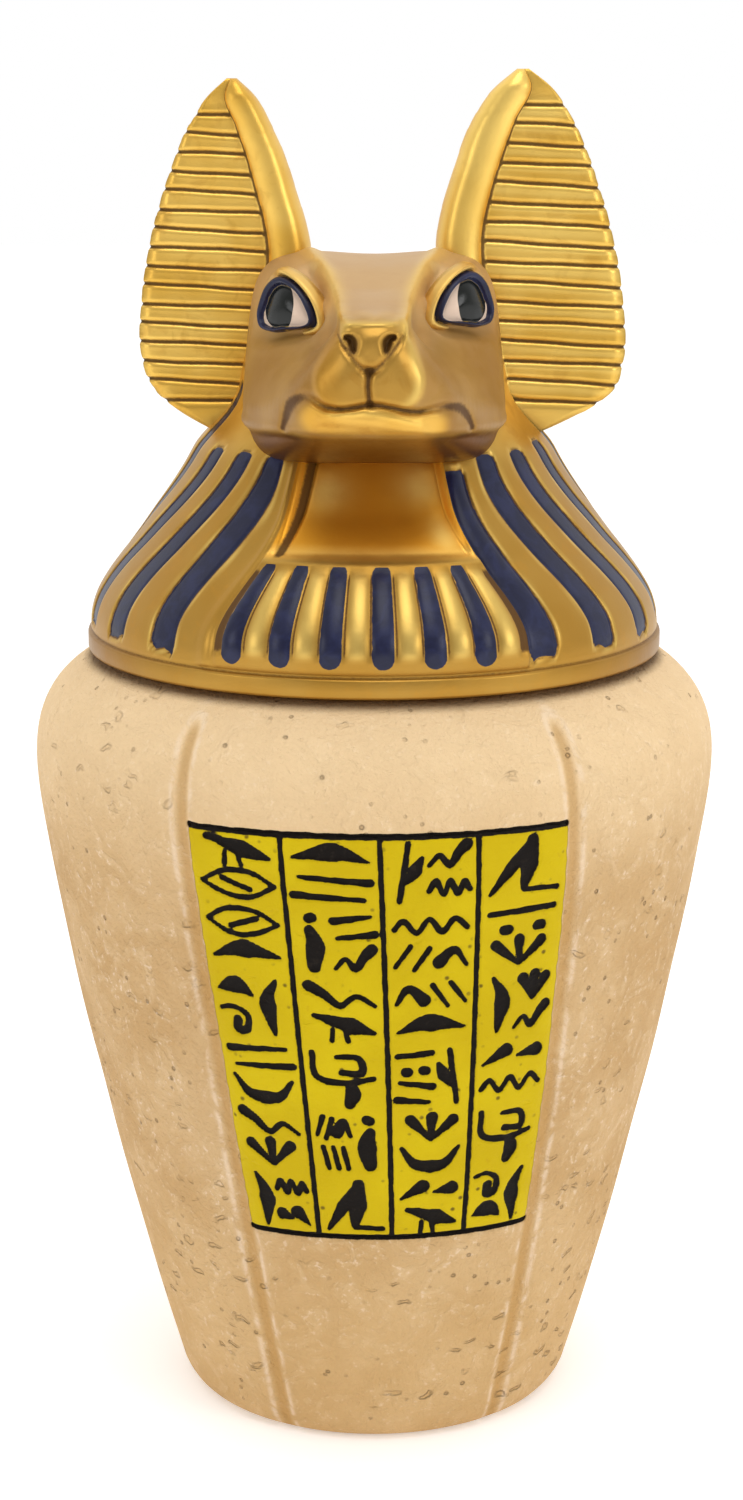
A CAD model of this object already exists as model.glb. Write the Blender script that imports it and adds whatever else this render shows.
import math

import bmesh
import bpy
import numpy as np
from mathutils import Euler, Matrix, Vector


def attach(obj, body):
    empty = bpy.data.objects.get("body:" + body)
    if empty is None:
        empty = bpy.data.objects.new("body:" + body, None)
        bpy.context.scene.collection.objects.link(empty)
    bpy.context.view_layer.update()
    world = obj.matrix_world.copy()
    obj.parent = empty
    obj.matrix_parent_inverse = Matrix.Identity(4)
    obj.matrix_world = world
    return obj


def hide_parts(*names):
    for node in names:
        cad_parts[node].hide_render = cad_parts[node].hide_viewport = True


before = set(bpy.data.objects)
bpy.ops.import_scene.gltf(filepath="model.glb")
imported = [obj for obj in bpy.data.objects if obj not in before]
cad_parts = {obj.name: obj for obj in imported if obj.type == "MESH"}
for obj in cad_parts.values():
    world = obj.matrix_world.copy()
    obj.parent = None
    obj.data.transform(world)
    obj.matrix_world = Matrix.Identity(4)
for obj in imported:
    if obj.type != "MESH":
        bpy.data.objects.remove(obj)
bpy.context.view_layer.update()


# ---- Camera --------------------------------------------------------------------------------------
# A long lens stands in front of the jar, level with the tips of the jackal's ears, and looks a little
# downwards, so that the whole jar is seen.

LOOKS_DOWN = 13.15  # degrees


def in_scene(name, data):
    """A new object, linked into the scene."""
    thing = bpy.data.objects.new(name, data)
    bpy.context.scene.collection.objects.link(thing)
    return thing


lens = bpy.data.cameras.new("camera")
lens.sensor_fit = "VERTICAL"
lens.sensor_height = 36
lens.lens = 67.56
lens.shift_x = -0.0017
lens.clip_start = 0.01
camera = in_scene("camera", lens)
camera.location = (0, -0.375, 0.177)
camera.rotation_euler = Euler((math.radians(90 - LOOKS_DOWN), 0, 0))
bpy.context.scene.camera = camera


# ---- Jar body ------------------------------------------------------------------------------------
# One hollow casting in stone-filled resin, cream all through, with four soft grooves that mark a front
# and a back panel. A field on the front is painted yellow, and its shallow cut marks are filled with black.

JAR_TALL = 104.2  # all sizes are in millimetres until a mesh is finished
FOOT_RADIUS = 24.3
TAPER_FOOT = (27.7, 4)
TAPER_SWELL = (38.675, 42)
TAPER_TOP = (44.85, 80)
SHOULDER_LIFT = (46.7, 90.8)
SHOULDER_TURN = (47.4, 99.4)
SEAT_EDGE = (37.0, JAR_TALL)
MOUTH_RADIUS = 30
GROOVES = (-147.8, -32.2, 32.2, 147.8)  # degrees round from the front
GROOVE_CROWD = 3.3  # degrees on each side of a groove where the columns stand close
PANEL_COLUMNS = (76, 44, 76, 38)  # columns in each stretch that follows a groove
GROOVE_WIDE = 1.15
GROOVE_DEEP = 0.65
PANEL_LEAN = 0.8  # degrees that the front panel is turned near its top
PANEL_TWIST = 0.0535  # degrees more for each millimetre down
FIELD_LOW = 32.9
FIELD_HIGH = 89.2
FIELD_HALF_ANGLE = 30.9
SIGN_COLUMNS = 4
SIGN_ROWS = 6
INK_DEEP = 0.42
LINE_HALF = 0.36
UNEVEN_DEEP = 0.12
NOWHERE = -9.0  # the room of a place that is far outside an edge


def smoothstep(low, high, value):
    """0 below low, 1 above high, and a soft rise between them."""
    t = np.clip((value - low) / (high - low), 0, 1)
    return t * t * (3 - 2 * t)


def soft_peak(value, middle, wide):
    """1 at the middle, with soft slopes down to 0 on both sides."""
    return np.exp(-((value - middle) / wide) ** 2)


def bezier(steps, *handles):
    """Points along one Bezier curve of any number of handles."""
    points = np.repeat(np.array(handles, float)[None], steps + 1, axis=0)
    t = np.linspace(0, 1, steps + 1)[:, None, None]
    while points.shape[1] > 1:
        points = points[:, :-1] * (1 - t) + points[:, 1:] * t
    return points[:, 0]


def turn_shell(outline, columns):
    """A closed shell turned on the upright axis from an outline that starts and ends on it."""
    shell = bmesh.new()
    rim = [shell.verts.new((radius, 0, height)) for radius, height in outline]
    edges = [shell.edges.new(pair) for pair in zip(rim, rim[1:])]
    bmesh.ops.spin(
        shell, geom=rim + edges, cent=(0, 0, 0), axis=(0, 0, 1),
        angle=2 * math.pi, steps=columns, use_merge=True,
    )
    bmesh.ops.remove_doubles(shell, verts=shell.verts, dist=0.002)
    bmesh.ops.recalc_face_normals(shell, faces=shell.faces)
    return shell


def rows_from(items, name):
    """One vector of each item, as rows of x, y and z."""
    rows = np.empty(len(items) * 3)
    items.foreach_get(name, rows)
    return rows.reshape(-1, 3)


def points_of(mesh):
    return rows_from(mesh.vertices, "co")


def place_points(mesh, points):
    mesh.vertices.foreach_set("co", np.ascontiguousarray(points, np.float32).ravel())
    mesh.update()


def note(mesh, name, values):
    """Keeps one number at each point, for the finish to read."""
    layer = mesh.attributes.new(name, "FLOAT", "POINT")
    layer.data.foreach_set("value", np.ascontiguousarray(values, np.float32))


def mesh_from(shape, name):
    """Ends the work on a shape, and gives its mesh."""
    mesh = bpy.data.meshes.new(name)
    shape.to_mesh(mesh)
    shape.free()
    return mesh


def split_finely(shape, faces, cuts):
    """Splits faces into small squares, and the uneven faces left round them into triangles."""
    edges = dict.fromkeys(edge for face in faces for edge in face.edges)
    bmesh.ops.subdivide_edges(shape, edges=list(edges), cuts=cuts, use_grid_fill=True)
    bmesh.ops.triangulate(shape, faces=[face for face in shape.faces if len(face.verts) > 4])


def angle_of(points):
    """Degrees round the axis from the front, towards +X."""
    return np.degrees(np.arctan2(points[:, 0], -points[:, 1]))


def from_axis(angle, radius, height):
    turn = np.radians(angle)
    return np.column_stack([radius * np.sin(turn), -radius * np.cos(turn), height])


def round_sum(angle, radius):
    """Degrees round the axis to millimetres along the skin."""
    return angle * math.pi / 180 * radius


def half_turns(angle):
    """The same angles, from -180 to 180 degrees."""
    return np.where(angle > 180, angle - 360, angle)


def column_place(angle, columns):
    """Where a point of an evenly turned shell goes when its columns stand at these angles."""
    wrapped = np.append(columns, columns[0] + 360)
    return np.interp((angle + 180) / 360 * len(columns), np.arange(len(wrapped)), wrapped)


foot = bezier(6, (FOOT_RADIUS, 0), (FOOT_RADIUS + 2.6, 0.4), TAPER_FOOT)
taper = bezier(64, TAPER_FOOT, TAPER_SWELL, TAPER_TOP)
shoulder = bezier(26, TAPER_TOP, SHOULDER_LIFT, SHOULDER_TURN, SEAT_EDGE)
jar_skin = np.vstack([foot, taper[1:], shoulder[1:]])
seat_round = [(SEAT_EDGE[0] - 0.25, JAR_TALL), (MOUTH_RADIUS + 0.5, JAR_TALL)]
jar_inside = [
    (MOUTH_RADIUS + 0.15, JAR_TALL - 0.15), (MOUTH_RADIUS, JAR_TALL - 0.5),
    (MOUTH_RADIUS, JAR_TALL - 3.4), (31.6, 100), (35.6, 98), (38.6, 95.4), (39.7, 92),
    (39.2, 80), (36.6, 62), (32.1, 42), (26.8, 22), (23.4, 12), (21.4, 8.6), (19.2, 7.2),
    (14, 7), (7, 7), (0, 7),
]
under_foot = [(0, 0.6), (12, 0.6), (21.5, 0.6), (22.4, 0.1)]
jar_outline = [*under_foot, *jar_skin, *seat_round, *jar_inside]


def jar_radius(height):
    return np.interp(height, jar_skin[:, 1], jar_skin[:, 0])


# Columns crowd in towards each of the four grooves.
jar_columns = []
for middle in GROOVES:
    jar_columns += [middle + step for step in np.linspace(-GROOVE_CROWD, GROOVE_CROWD, 13)]
for groove, following, count in zip(GROOVES, [*GROOVES[1:], GROOVES[0] + 360], PANEL_COLUMNS):
    jar_columns += list(np.linspace(groove + GROOVE_CROWD, following - GROOVE_CROWD, count)[1:-1])
jar_columns = np.sort(half_turns(np.array(jar_columns)))

# The field's faces are split finely enough to be cut.
jar_shape = turn_shell(jar_outline, len(jar_columns))
middles = np.array([face.calc_center_median() for face in jar_shape.faces])
on_field = np.hypot(middles[:, 0], middles[:, 1]) > jar_radius(middles[:, 2]) - 2
on_field &= np.abs(column_place(angle_of(middles), jar_columns)) < FIELD_HALF_ANGLE + 1.2
on_field &= (middles[:, 2] > FIELD_LOW - 1.4) & (middles[:, 2] < FIELD_HIGH + 1.6)
split_finely(jar_shape, [face for face, chosen in zip(jar_shape.faces, on_field) if chosen], 3)
jar_mesh = mesh_from(jar_shape, "jar_body_stone")

points = points_of(jar_mesh)
height = points[:, 2]
radius = np.hypot(points[:, 0], points[:, 1])
skin = (radius > jar_radius(height) - 1.5) & (height > 0.02) & (height < JAR_TALL - 0.02)
mould_angle = column_place(angle_of(points), jar_columns)

# The old mould is a little twisted, so the front panel leans.
lean = PANEL_LEAN + (89 - height) * PANEL_TWIST
angle = mould_angle + lean * np.interp(np.abs(mould_angle), [0, 36, 95, 180], [1, 1, 0, 0])
radius = np.where(skin, jar_radius(height), radius)

# Places on the field run from -1 to 1 across and from 0 to 1 up. A room is how far inside an edge a
# point lies, in millimetres, and it is below 0 outside.
field_across = mould_angle / FIELD_HALF_ANGLE
field_up = (height - FIELD_LOW) / (FIELD_HIGH - FIELD_LOW)
side_room = round_sum(FIELD_HALF_ANGLE - np.abs(mould_angle), radius)
end_room = np.minimum(height - FIELD_LOW, FIELD_HIGH - height)
in_front = skin & (np.abs(mould_angle) < 60)
field_room = np.where(in_front, np.minimum(side_room, end_room), NOWHERE)

# Each made-up mark is a few strokes, given as the half-widths at the start, the middle and the end,
# and then the places each runs through. Low marks lie in half a cell, tall ones stand in its side,
# and wide ones fill it.
LOW_MARKS = [
    [((.4, .4, .4), (.04, .2), (.2, .36), (.36, .14), (.52, .36), (.68, .14), (.84, .34), (.96, .2))],
    [((.4, .6, .35), (.14, .04), (.26, .42)), ((.4, .6, .35), (.42, .04), (.54, .42)),
     ((.4, .6, .35), (.7, .04), (.82, .42))],
    [((.2, 1.3, .2), (.04, .14), (.45, .3), (.96, .2))],
    [((.45, .45, .4), (.06, .4), (.94, .36)), ((.7, .7, .7), (.22, .1), (.28, .1)),
     ((.7, .7, .7), (.68, .08), (.74, .08))],
    [((.3, 1.0, .3), (.06, .4), (.28, .1), (.7, .08), (.94, .38))],
    [((.3, .45, .8), (.04, .08), (.28, .24), (.5, .08), (.72, .28), (.9, .4))],
    [((1.0, .6, .2), (.14, .26), (.44, .2)), ((1.0, .6, .2), (.62, .32), (.96, .1))],
    [((.3, .4, .3), (.02, .22), (.3, .42), (.66, .42), (.98, .22)),
     ((.3, .4, .3), (.02, .22), (.34, .02), (.66, .04), (.98, .22)),
     ((.4, .6, .4), (.34, .14), (.7, .3))],
    [((.3, .5, .9), (.04, .1), (.2, .36), (.4, .16)), ((.4, .7, .3), (.52, .4), (.72, .04)),
     ((.4, .6, .3), (.76, .44), (.96, .1))],
    [((.3, .45, .7), (.96, .4), (.6, .44), (.26, .32), (.3, .08), (.56, .06), (.54, .22))],
    [((.55, .45, .3), (.04, .34), (.9, .42)), ((.3, .45, .55), (.12, .06), (.98, .12))],
    [((.3, .4, .8), (.5, .02), (.2, .38)), ((.3, .4, .8), (.5, .02), (.52, .42)),
     ((.3, .4, .8), (.52, .02), (.84, .36))],
    [((.3, 1.2, .6), (.06, .14), (.42, .28), (.68, .36)), ((.6, .6, .4), (.68, .38), (.86, .42)),
     ((.35, .35, .35), (.46, .2), (.42, 0)), ((.35, .35, .35), (.62, .2), (.64, 0))],
]
TALL_MARKS = [
    [((.3, 1.2, .3), (.22, .04), (.28, .6), (.14, .96))],
    [((.4, .5, .4), (.12, .04), (.24, .96)), ((.3, .9, .3), (.2, .34), (.3, .5), (.4, .74))],
    [((.9, 1.3, .7), (.2, .1), (.24, .46), (.18, .7)), ((.7, .7, .7), (.18, .9), (.22, .92))],
]
WIDE_MARKS = [
    [((.5, 1.2, .3), (.06, .62), (.42, .4), (.96, .5)), ((.3, .6, .9), (.1, .96), (.34, .62), (.6, .42)),
     ((.45, .45, .4), (.38, .36), (.32, .04)), ((.45, .45, .4), (.56, .38), (.66, .04)),
     ((.35, .8, .3), (.6, .5), (.68, .82), (.94, .9))],
    [((.4, .5, .4), (.06, .94), (.1, .52), (.5, .42), (.9, .5)),
     ((.6, 1.1, .7), (.56, .4), (.6, .22), (.54, .04)),
     ((.35, .5, .5), (.4, .88), (.7, .86), (.74, .6), (.46, .6))],
    [((.3, .9, .5), (.06, .06), (.34, .5), (.62, .94)), ((.8, 1.3, .5), (.6, .9), (.56, .5), (.5, .14)),
     ((.35, .5, .4), (.5, .1), (.96, .08))],
]


def curve_through(places, steps=7):
    """A soft curve through a few places, as short straight runs."""
    places = np.array(places, float)
    if len(places) < 3:
        return places
    ends = np.vstack([2 * places[0] - places[1], places, 2 * places[-1] - places[-2]])
    runs = [places[:1]]
    for before, low, high, after in zip(ends, ends[1:], ends[2:], ends[3:]):
        t = np.linspace(0, 1, steps + 1)[1:, None]
        runs.append(0.5 * (
            2 * low + (high - before) * t + (2 * before - 5 * low + 4 * high - after) * t ** 2
            + (3 * low - before - 3 * high + after) * t ** 3
        ))
    return np.vstack(runs)


def along_route(route, widths, spots):
    """For each short run of a route: how far the spots lie from it, and its half-width beside them."""
    route = np.array(route, float)
    run = np.concatenate([[0], np.cumsum(np.linalg.norm(np.diff(route, axis=0), axis=1))])
    half = np.interp(run / run[-1], np.linspace(0, 1, len(widths)), widths)
    for start, end, wide, next_wide in zip(route, route[1:], half, half[1:]):
        along = end - start
        share = np.clip((spots - start) @ along / max(along @ along, 1e-9), 0, 1)
        reach = np.linalg.norm(spots - start - share[:, None] * along, axis=1)
        yield reach, wide + (next_wide - wide) * share


def stroke_room(places, widths, spots):
    """How far each spot lies inside a stroke, in the stroke's own units: below 0 is outside it."""
    runs = along_route(curve_through(places), widths, spots)
    return np.max([half - reach for reach, half in runs], axis=0)


def marks_for(column, row):
    """The strokes of one cell's marks, each as its half-widths and its places in the cell."""
    number = 5 * row + 3 * column
    beside = (row + 2 * column) % 3 == 0
    if (2 * row + column) % 4 == 1 and not beside:
        return [(widths, places) for widths, *places in WIDE_MARKS[(row + 2 * column) % len(WIDE_MARKS)]]
    start = 0.46 if beside else 0
    upper = LOW_MARKS[number % len(LOW_MARKS)]
    lower = LOW_MARKS[(number + 6 + row // 2) % len(LOW_MARKS)]
    strokes = []
    for lift, mark in ((0.53, upper), (0, lower)):
        for widths, *places in mark:
            strokes.append((widths, [(start + (1 - start) * x, lift + y) for x, y in places]))
    if beside:
        strokes += [(widths, places) for widths, *places in TALL_MARKS[(row + column) % len(TALL_MARKS)]]
    return strokes


cell_tall = (FIELD_HIGH - FIELD_LOW) / SIGN_ROWS
ink_room = np.full(len(points), NOWHERE)
for column in range(SIGN_COLUMNS):
    for row in range(SIGN_ROWS):
        low_side = -1 + 2 * column / SIGN_COLUMNS
        own = in_front & (field_across > low_side) & (field_across < low_side + 2 / SIGN_COLUMNS)
        own &= (field_up > row / SIGN_ROWS) & (field_up < (row + 1) / SIGN_ROWS)
        middle_height = FIELD_LOW + (row + 0.5) * cell_tall
        cell_wide = round_sum(2 * FIELD_HALF_ANGLE / SIGN_COLUMNS, jar_radius(middle_height))
        spots = np.column_stack([
            ((field_across[own] - low_side) * SIGN_COLUMNS / 2 - 0.5) * cell_wide,
            (field_up[own] * SIGN_ROWS - row - 0.5) * cell_tall,
        ])
        flip = -1 if (row + column // 2) % 2 else 1
        for widths, places in marks_for(column, row):
            drawn = (np.array(places) - 0.5) * (flip * (cell_wide - 1.9), cell_tall - 1.3)
            ink_room[own] = np.maximum(ink_room[own], stroke_room(drawn, widths, spots))

# Three lines part the columns, and one closes the field above and below.
for part in range(1, SIGN_COLUMNS):
    off_line = round_sum(np.abs(field_across - (2 * part / SIGN_COLUMNS - 1)) * FIELD_HALF_ANGLE, radius)
    parted = in_front & (height > FIELD_LOW) & (height < FIELD_HIGH)
    ink_room = np.maximum(ink_room, np.where(parted, LINE_HALF - off_line, NOWHERE))
for level in (FIELD_LOW, FIELD_HIGH):
    off_line = np.hypot(height - level, np.minimum(side_room, 0))
    ink_room = np.maximum(ink_room, np.where(in_front, LINE_HALF + 0.06 - off_line, NOWHERE))

# Hand-cut edges waver, and the stone between the cuts isn't quite flat.
waver = (
    np.sin(height * 1.9 + 3 * np.sin(angle * 0.31)) + np.sin(height * 0.83 - angle * 1.3 + 1)
    + np.sin(height * 2.9 + angle * 2.3 + 4)
) / 3
ink_room += 0.06 * waver
field_room += 0.12 * waver

groove = np.zeros(len(points))
for middle in GROOVES:
    groove = np.maximum(groove, soft_peak(round_sum(mould_angle - middle, radius), 0, GROOVE_WIDE))
groove *= np.where(skin, 1 - 0.9 * smoothstep(99.5, 103, height), 0)

swell = (
    np.sin(angle * 0.081 + height * 0.13) + np.sin(angle * 0.17 - height * 0.09 + 2)
    + np.sin(angle * 0.05 + height * 0.31 + 1) + np.sin(angle * 0.29 + height * 0.23 + 5)
) / 4
inked = smoothstep(-0.12, 0.2, ink_room)
relief = -GROOVE_DEEP * groove - INK_DEEP * inked - UNEVEN_DEEP * (1 - swell) * skin
relief *= np.where(skin, smoothstep(0, 2, height), 0)

place_points(jar_mesh, from_axis(angle, radius + relief, height))
note(jar_mesh, "ink_room", ink_room)
note(jar_mesh, "field_room", field_room)
note(jar_mesh, "groove", groove)


class Signal:
    """A value that runs through a finish. Sums and products of signals add the nodes they need."""

    def __init__(self, tree, socket=None):
        self.tree = tree
        self.socket = socket

    def add(self, kind, settings=None, inputs=None, output=0):
        """One more node: its settings, then its sockets' values or links. Gives one output back."""
        node = self.tree.nodes.new(kind)
        for name, value in (settings or {}).items():
            setattr(node, name, value)
        for name, value in (inputs or {}).items():
            if isinstance(value, Signal):
                self.tree.links.new(value.socket, node.inputs[name])
            else:
                node.inputs[name].default_value = value
        return Signal(self.tree, node.outputs[output])

    def maths(self, operation, first, second):
        return self.add("ShaderNodeMath", {"operation": operation}, {0: first, 1: second})

    def __add__(self, other):
        return self.maths("ADD", self, other)

    def __radd__(self, other):
        return self.maths("ADD", other, self)

    def __sub__(self, other):
        return self.maths("SUBTRACT", self, other)

    def __rsub__(self, other):
        return self.maths("SUBTRACT", other, self)

    def __mul__(self, other):
        return self.maths("MULTIPLY", self, other)

    def __rmul__(self, other):
        return self.maths("MULTIPLY", other, self)

    def band(self, low, high):
        """0 below low, 1 above high, with a soft edge between."""
        return self.add(
            "ShaderNodeMapRange", {"interpolation_type": "SMOOTHSTEP"},
            {"Value": self, "From Min": low, "From Max": high},
        )

    def kept(self, name):
        """The number that the mesh keeps at each point under this name."""
        return self.add("ShaderNodeAttribute", {"attribute_name": name}, output="Fac")

    def place(self):
        return self.add("ShaderNodeTexCoord", output="Object")

    def part(self, axis):
        """One of a place's three numbers."""
        return self.add("ShaderNodeSeparateXYZ", None, {0: self}, output=axis)

    def grain(self, size, detail=3.0, rough=0.55, warp=0.0):
        """Cloudy noise whose blotches are about this many millimetres wide."""
        return self.add("ShaderNodeTexNoise", None, {
            "Vector": self.place(), "Scale": 1000 / size, "Detail": detail,
            "Roughness": rough, "Distortion": warp,
        })

    def blend(self, share, under, over):
        """One colour laid over another."""
        return self.add("ShaderNodeMix", {"data_type": "RGBA"}, {0: share, 6: under, 7: over}, output=2)

    def coats(self, under, *over):
        """Thin coats laid one after another, each given as its share and its paint-chip colour."""
        for share, chip in over:
            under = self.blend(share, under, colour(*chip))
        return under


def colour(red, green, blue):
    """A paint-chip colour from 0 to 255, as light."""
    chip = np.array([red, green, blue]) / 255
    light = np.where(chip <= 0.04045, chip / 12.92, ((chip + 0.055) / 1.055) ** 2.4)
    return (*(float(part) for part in light), 1.0)


def new_finish(name, plain):
    """A finish with its plain values set, and a signal to start its sums from."""
    material = bpy.data.materials.new(name)
    material.use_nodes = True
    shader = material.node_tree.nodes["Principled BSDF"]
    for socket, value in plain.items():
        shader.inputs[socket].default_value = value
    return material, shader, Signal(material.node_tree)


def feed(shader, socket, signal):
    signal.tree.links.new(signal.socket, shader.inputs[socket])


def raise_grain(shader, signal, deep, strength):
    """Lets a signal lift the surface by this many millimetres."""
    bump = signal.add("ShaderNodeBump", None, {
        "Height": signal, "Distance": deep / 1000, "Strength": strength,
    })
    feed(shader, "Normal", bump)


def finish_mesh(mesh, material):
    """Smooths a piece, gives it its one finish, and takes it from millimetres to metres."""
    mesh.shade_smooth()
    mesh.materials.clear()
    mesh.materials.append(material)
    mesh.transform(Matrix.Scale(0.001, 4))


stone, stone_shader, begin = new_finish("cast_stone", {"IOR": 1.45, "Specular IOR Level": 0.14})
place = begin.place()
height_up = place.part(2)
towards_foot = 1 - height_up.band(0.004, 0.05)
cloud = begin.grain(14, 4)
speckle = begin.grain(1.1, 3, 0.65)
wrinkle = begin.grain(5.5, 4, 0.62, 1.8)
fine = begin.grain(0.5, 2)
sand = begin.grain(0.75, 2, 0.6)

# Scars are short slanted nicks, gathered in patches, and pits are small round holes.
pushed = begin.add("ShaderNodeVectorMath", {"operation": "MULTIPLY_ADD"}, {
    0: begin.add("ShaderNodeTexNoise", None, {"Vector": place, "Scale": 420}, output=1),
    1: (0.003, 0.003, 0.003), 2: place,
})
slanted = begin.add("ShaderNodeMapping", None, {
    "Vector": pushed, "Rotation": (0.3, 0.7, 0.0), "Scale": (0.6, 0.6, 1.5),
})
scar = begin.add("ShaderNodeTexVoronoi", None, {"Vector": slanted, "Scale": 330})
scarred = begin.grain(17, 3).band(0.49, 0.56)
gouge = (1 - scar.band(0.08, 0.26)) * scarred
pit = 1 - begin.add("ShaderNodeTexVoronoi", None, {"Vector": place, "Scale": 480}).band(0.06, 0.2)
pits = pit * begin.grain(7, 2).band(0.5, 0.62)
hurt = gouge * (0.6 + towards_foot * 0.4)

# Cream all through, paler where it is rubbed and towards the shoulder, and browner in its hollows.
groove_line = begin.kept("groove")
groove_brim = groove_line.band(0.02, 0.2) * (1 - groove_line.band(0.25, 0.55)) * wrinkle.band(0.36, 0.56)
cream = begin.coats(
    colour(195, 158, 109),
    (cloud.band(0.35, 0.68), (208, 174, 128)),
    (wrinkle.band(0.48, 0.72) * 0.34, (232, 205, 166)),
    (speckle.band(0.5, 0.74) * 0.3, (202, 160, 104)),
    (sand.band(0.55, 0.7) * wrinkle.band(0.44, 0.6) * 0.42, (246, 226, 202)),
    (height_up.band(0.072, 0.102) * 0.75, (242, 212, 168)),
    (towards_foot * 0.45, (212, 174, 118)),
    (pits * 0.35, (140, 104, 62)),
    (hurt * 0.25, (192, 148, 86)),
    (groove_brim * 0.45, (244, 222, 196)),
    (groove_line.band(0.4, 0.95) * 0.6, (190, 146, 84)),
    (height_up.band(0.1028, 0.1038) * 0.8, (84, 54, 24)),
)

field_edge = begin.kept("field_room") + (begin.grain(1.6, 2) - 0.5) * 0.25
ink_edge = begin.kept("ink_room") + (begin.grain(0.7, 2) - 0.5) * 0.14
yellow = begin.coats(
    colour(196, 168, 2),
    (cloud.band(0.35, 0.7), (206, 180, 6)),
    (speckle.band(0.6, 0.78) * 0.4, (186, 148, 16)),
    (pits * 0.8, (70, 50, 20)),
)
black = begin.coats(colour(16, 9, 5), (speckle.band(0.55, 0.75) * 0.5, (44, 36, 28)))
painted = field_edge.band(-0.06, 0.06)
inked_in = ink_edge.band(-0.05, 0.05)
feed(stone_shader, "Base Color", begin.blend(inked_in, begin.blend(painted, cream, yellow), black))
feed(stone_shader, "Roughness", 0.82 - painted * 0.22 - inked_in * 0.1 + (speckle - 0.5) * 0.1)
bumps = wrinkle * 0.75 + speckle * 0.42 + sand * 0.3 + fine * 0.12 - pits * 0.6 - hurt * 0.8
raise_grain(stone_shader, bumps * (1 - painted * 0.75), 0.8, 1.0)

finish_mesh(jar_mesh, stone)
jar = in_scene("jar_body_stone", jar_mesh)
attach(jar, "root")
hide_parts("jar_body")


# ---- Lid: rim, wig, collar and chest ---------------------------------------------------------------
# The lower part of the lid's one casting: a plug that drops in the jar's mouth, a plain rim band and
# the bell of the striped wig, open in front over a smooth chest and a fluted collar. Painted gold.

LID_LOW = 104.5
BAND_TOP = 107.1
RIM_RADIUS = 38.5
PLUG_RADIUS = 28.8
PLUG_DEEP = 4
COLLAR_TOP = 120.2
WIG_TOP = 155.2
STRIPE_RIGHT = 34
STRIPE_LEFT = -45
STRIPE_COUNT = 18
STRIPE_HALF = 3.3  # degrees
STRIPE_ROUND = 0.9
STRIPE_START = 1.5
STRIPE_DEEP = 0.22
STRIPE_CUT = 0.2
LAPPET_LEFT = -31.2
LAPPET_RIGHT = 30.2
FLUTE_PITCH = 4.83
FLUTE_START = -29.7
FLUTE_COUNT = 12
FLUTE_RISE = 0.62
CHEST_DEEP = 1.7
CHANNEL_DEEP = 0.7
LIP_RISE = 0.3
GLINTS = [  # bright places on the chest: degrees round, height, degrees wide and strength
    (17, 129.0, 9, 1.0), (-16, 128.2, 8, 0.95), (22, 123.0, 5, 0.8),
]
FAN_ROWS = [  # degrees round, how far the stripes draw in there, and where that starts and ends
    (-180, 8, 111, 134), (-120, 16, 112, 134), (-77, 19.5, 113, 134), (-46, 18.5, 112, 133),
    (-36, 17, 111, 126), (0, 0, 111, 126), (30, 17.5, 111, 127), (50, 17.8, 111, 130),
    (67, 17, 111, 132), (120, 15, 111, 133), (180, 8, 111, 134),
]
LID_NOTES = {  # the numbers that the lid's finish reads, and what they are where nothing is said
    "blue_room": NOWHERE, "eye_room": NOWHERE, "iris_room": NOWHERE,
    "wash": 0, "glaze": 0, "shade": 0, "rub": 0, "amber": 0,
}


def note_lid(mesh, **values):
    """Keeps every number of the lid's finish on one of its meshes."""
    for name, plain in LID_NOTES.items():
        note(mesh, name, values.get(name, np.full(len(mesh.vertices), plain)))


def through(rows, x):
    """Smooth curves through rows of x, value, value...: gives all the values at each x."""
    rows = np.array(rows, float)
    x = np.clip(np.asarray(x, float), rows[0, 0], rows[-1, 0])
    slopes = np.gradient(rows[:, 1:], rows[:, 0], axis=0)
    low = np.clip(np.searchsorted(rows[:, 0], x, side="right") - 1, 0, len(rows) - 2)
    span = rows[low + 1, 0] - rows[low, 0]
    t = ((x - rows[low, 0]) / span)[:, None]
    span = span[:, None]
    rise = rows[low + 1, 1:] - rows[low, 1:]
    start, end = slopes[low] * span, slopes[low + 1] * span
    bend = 3 * rise - 2 * start - end + t * (start + end - 2 * rise)
    return (rows[low, 1:] + t * (start + t * bend)).T


BELL = [
    (BAND_TOP + 0.3, 38.1), (109.5, 37.95), (112, 37.15), (114, 36.0), (117, 33.85), (120, 31.5),
    (123, 29.35), (126, 27.2), (129, 25.25), (132, 23.6), (135, 22.1), (143, 20.2), (149, 17.4),
    (152.6, 13.6), (154.4, 9), (WIG_TOP, 0),
]


def bell_radius(height):
    return through(BELL, height)[0]


stripe_pitch = (360 - (STRIPE_RIGHT - STRIPE_LEFT)) / (STRIPE_COUNT - 1)
stripe_middles = np.sort(half_turns(STRIPE_RIGHT + stripe_pitch * np.arange(STRIPE_COUNT)))

# Columns crowd at the stripes' edges, between them and on the flutes.
wig_columns = [
    -36, -34.5, -33.4, -32.6, -31.9, -31.2, -30.6, 29.3, 30.2,
    FLUTE_START + FLUTE_PITCH * FLUTE_COUNT,
]
for middle in stripe_middles:
    for edge in (-STRIPE_HALF, STRIPE_HALF):
        wig_columns += [middle + edge + step for step in (-1.2, -0.75, -0.4, 0, 0.4, 0.75, 1.2)]
    wig_columns += [middle]
    wig_columns += [middle + step for step in (5.4, 6.7, 8.0, 9.3, 10.6) if middle + 12 < 180]
for flute in range(FLUTE_COUNT):
    wig_columns += list(FLUTE_START + FLUTE_PITCH * (flute + np.linspace(0, 1, 11)[:-1]))
wig_columns = np.array(sorted({round(float(angle), 2) for angle in wig_columns}))
crowded = np.append(np.diff(wig_columns), 9) < 0.25
wig_columns = wig_columns[~crowded]

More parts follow.
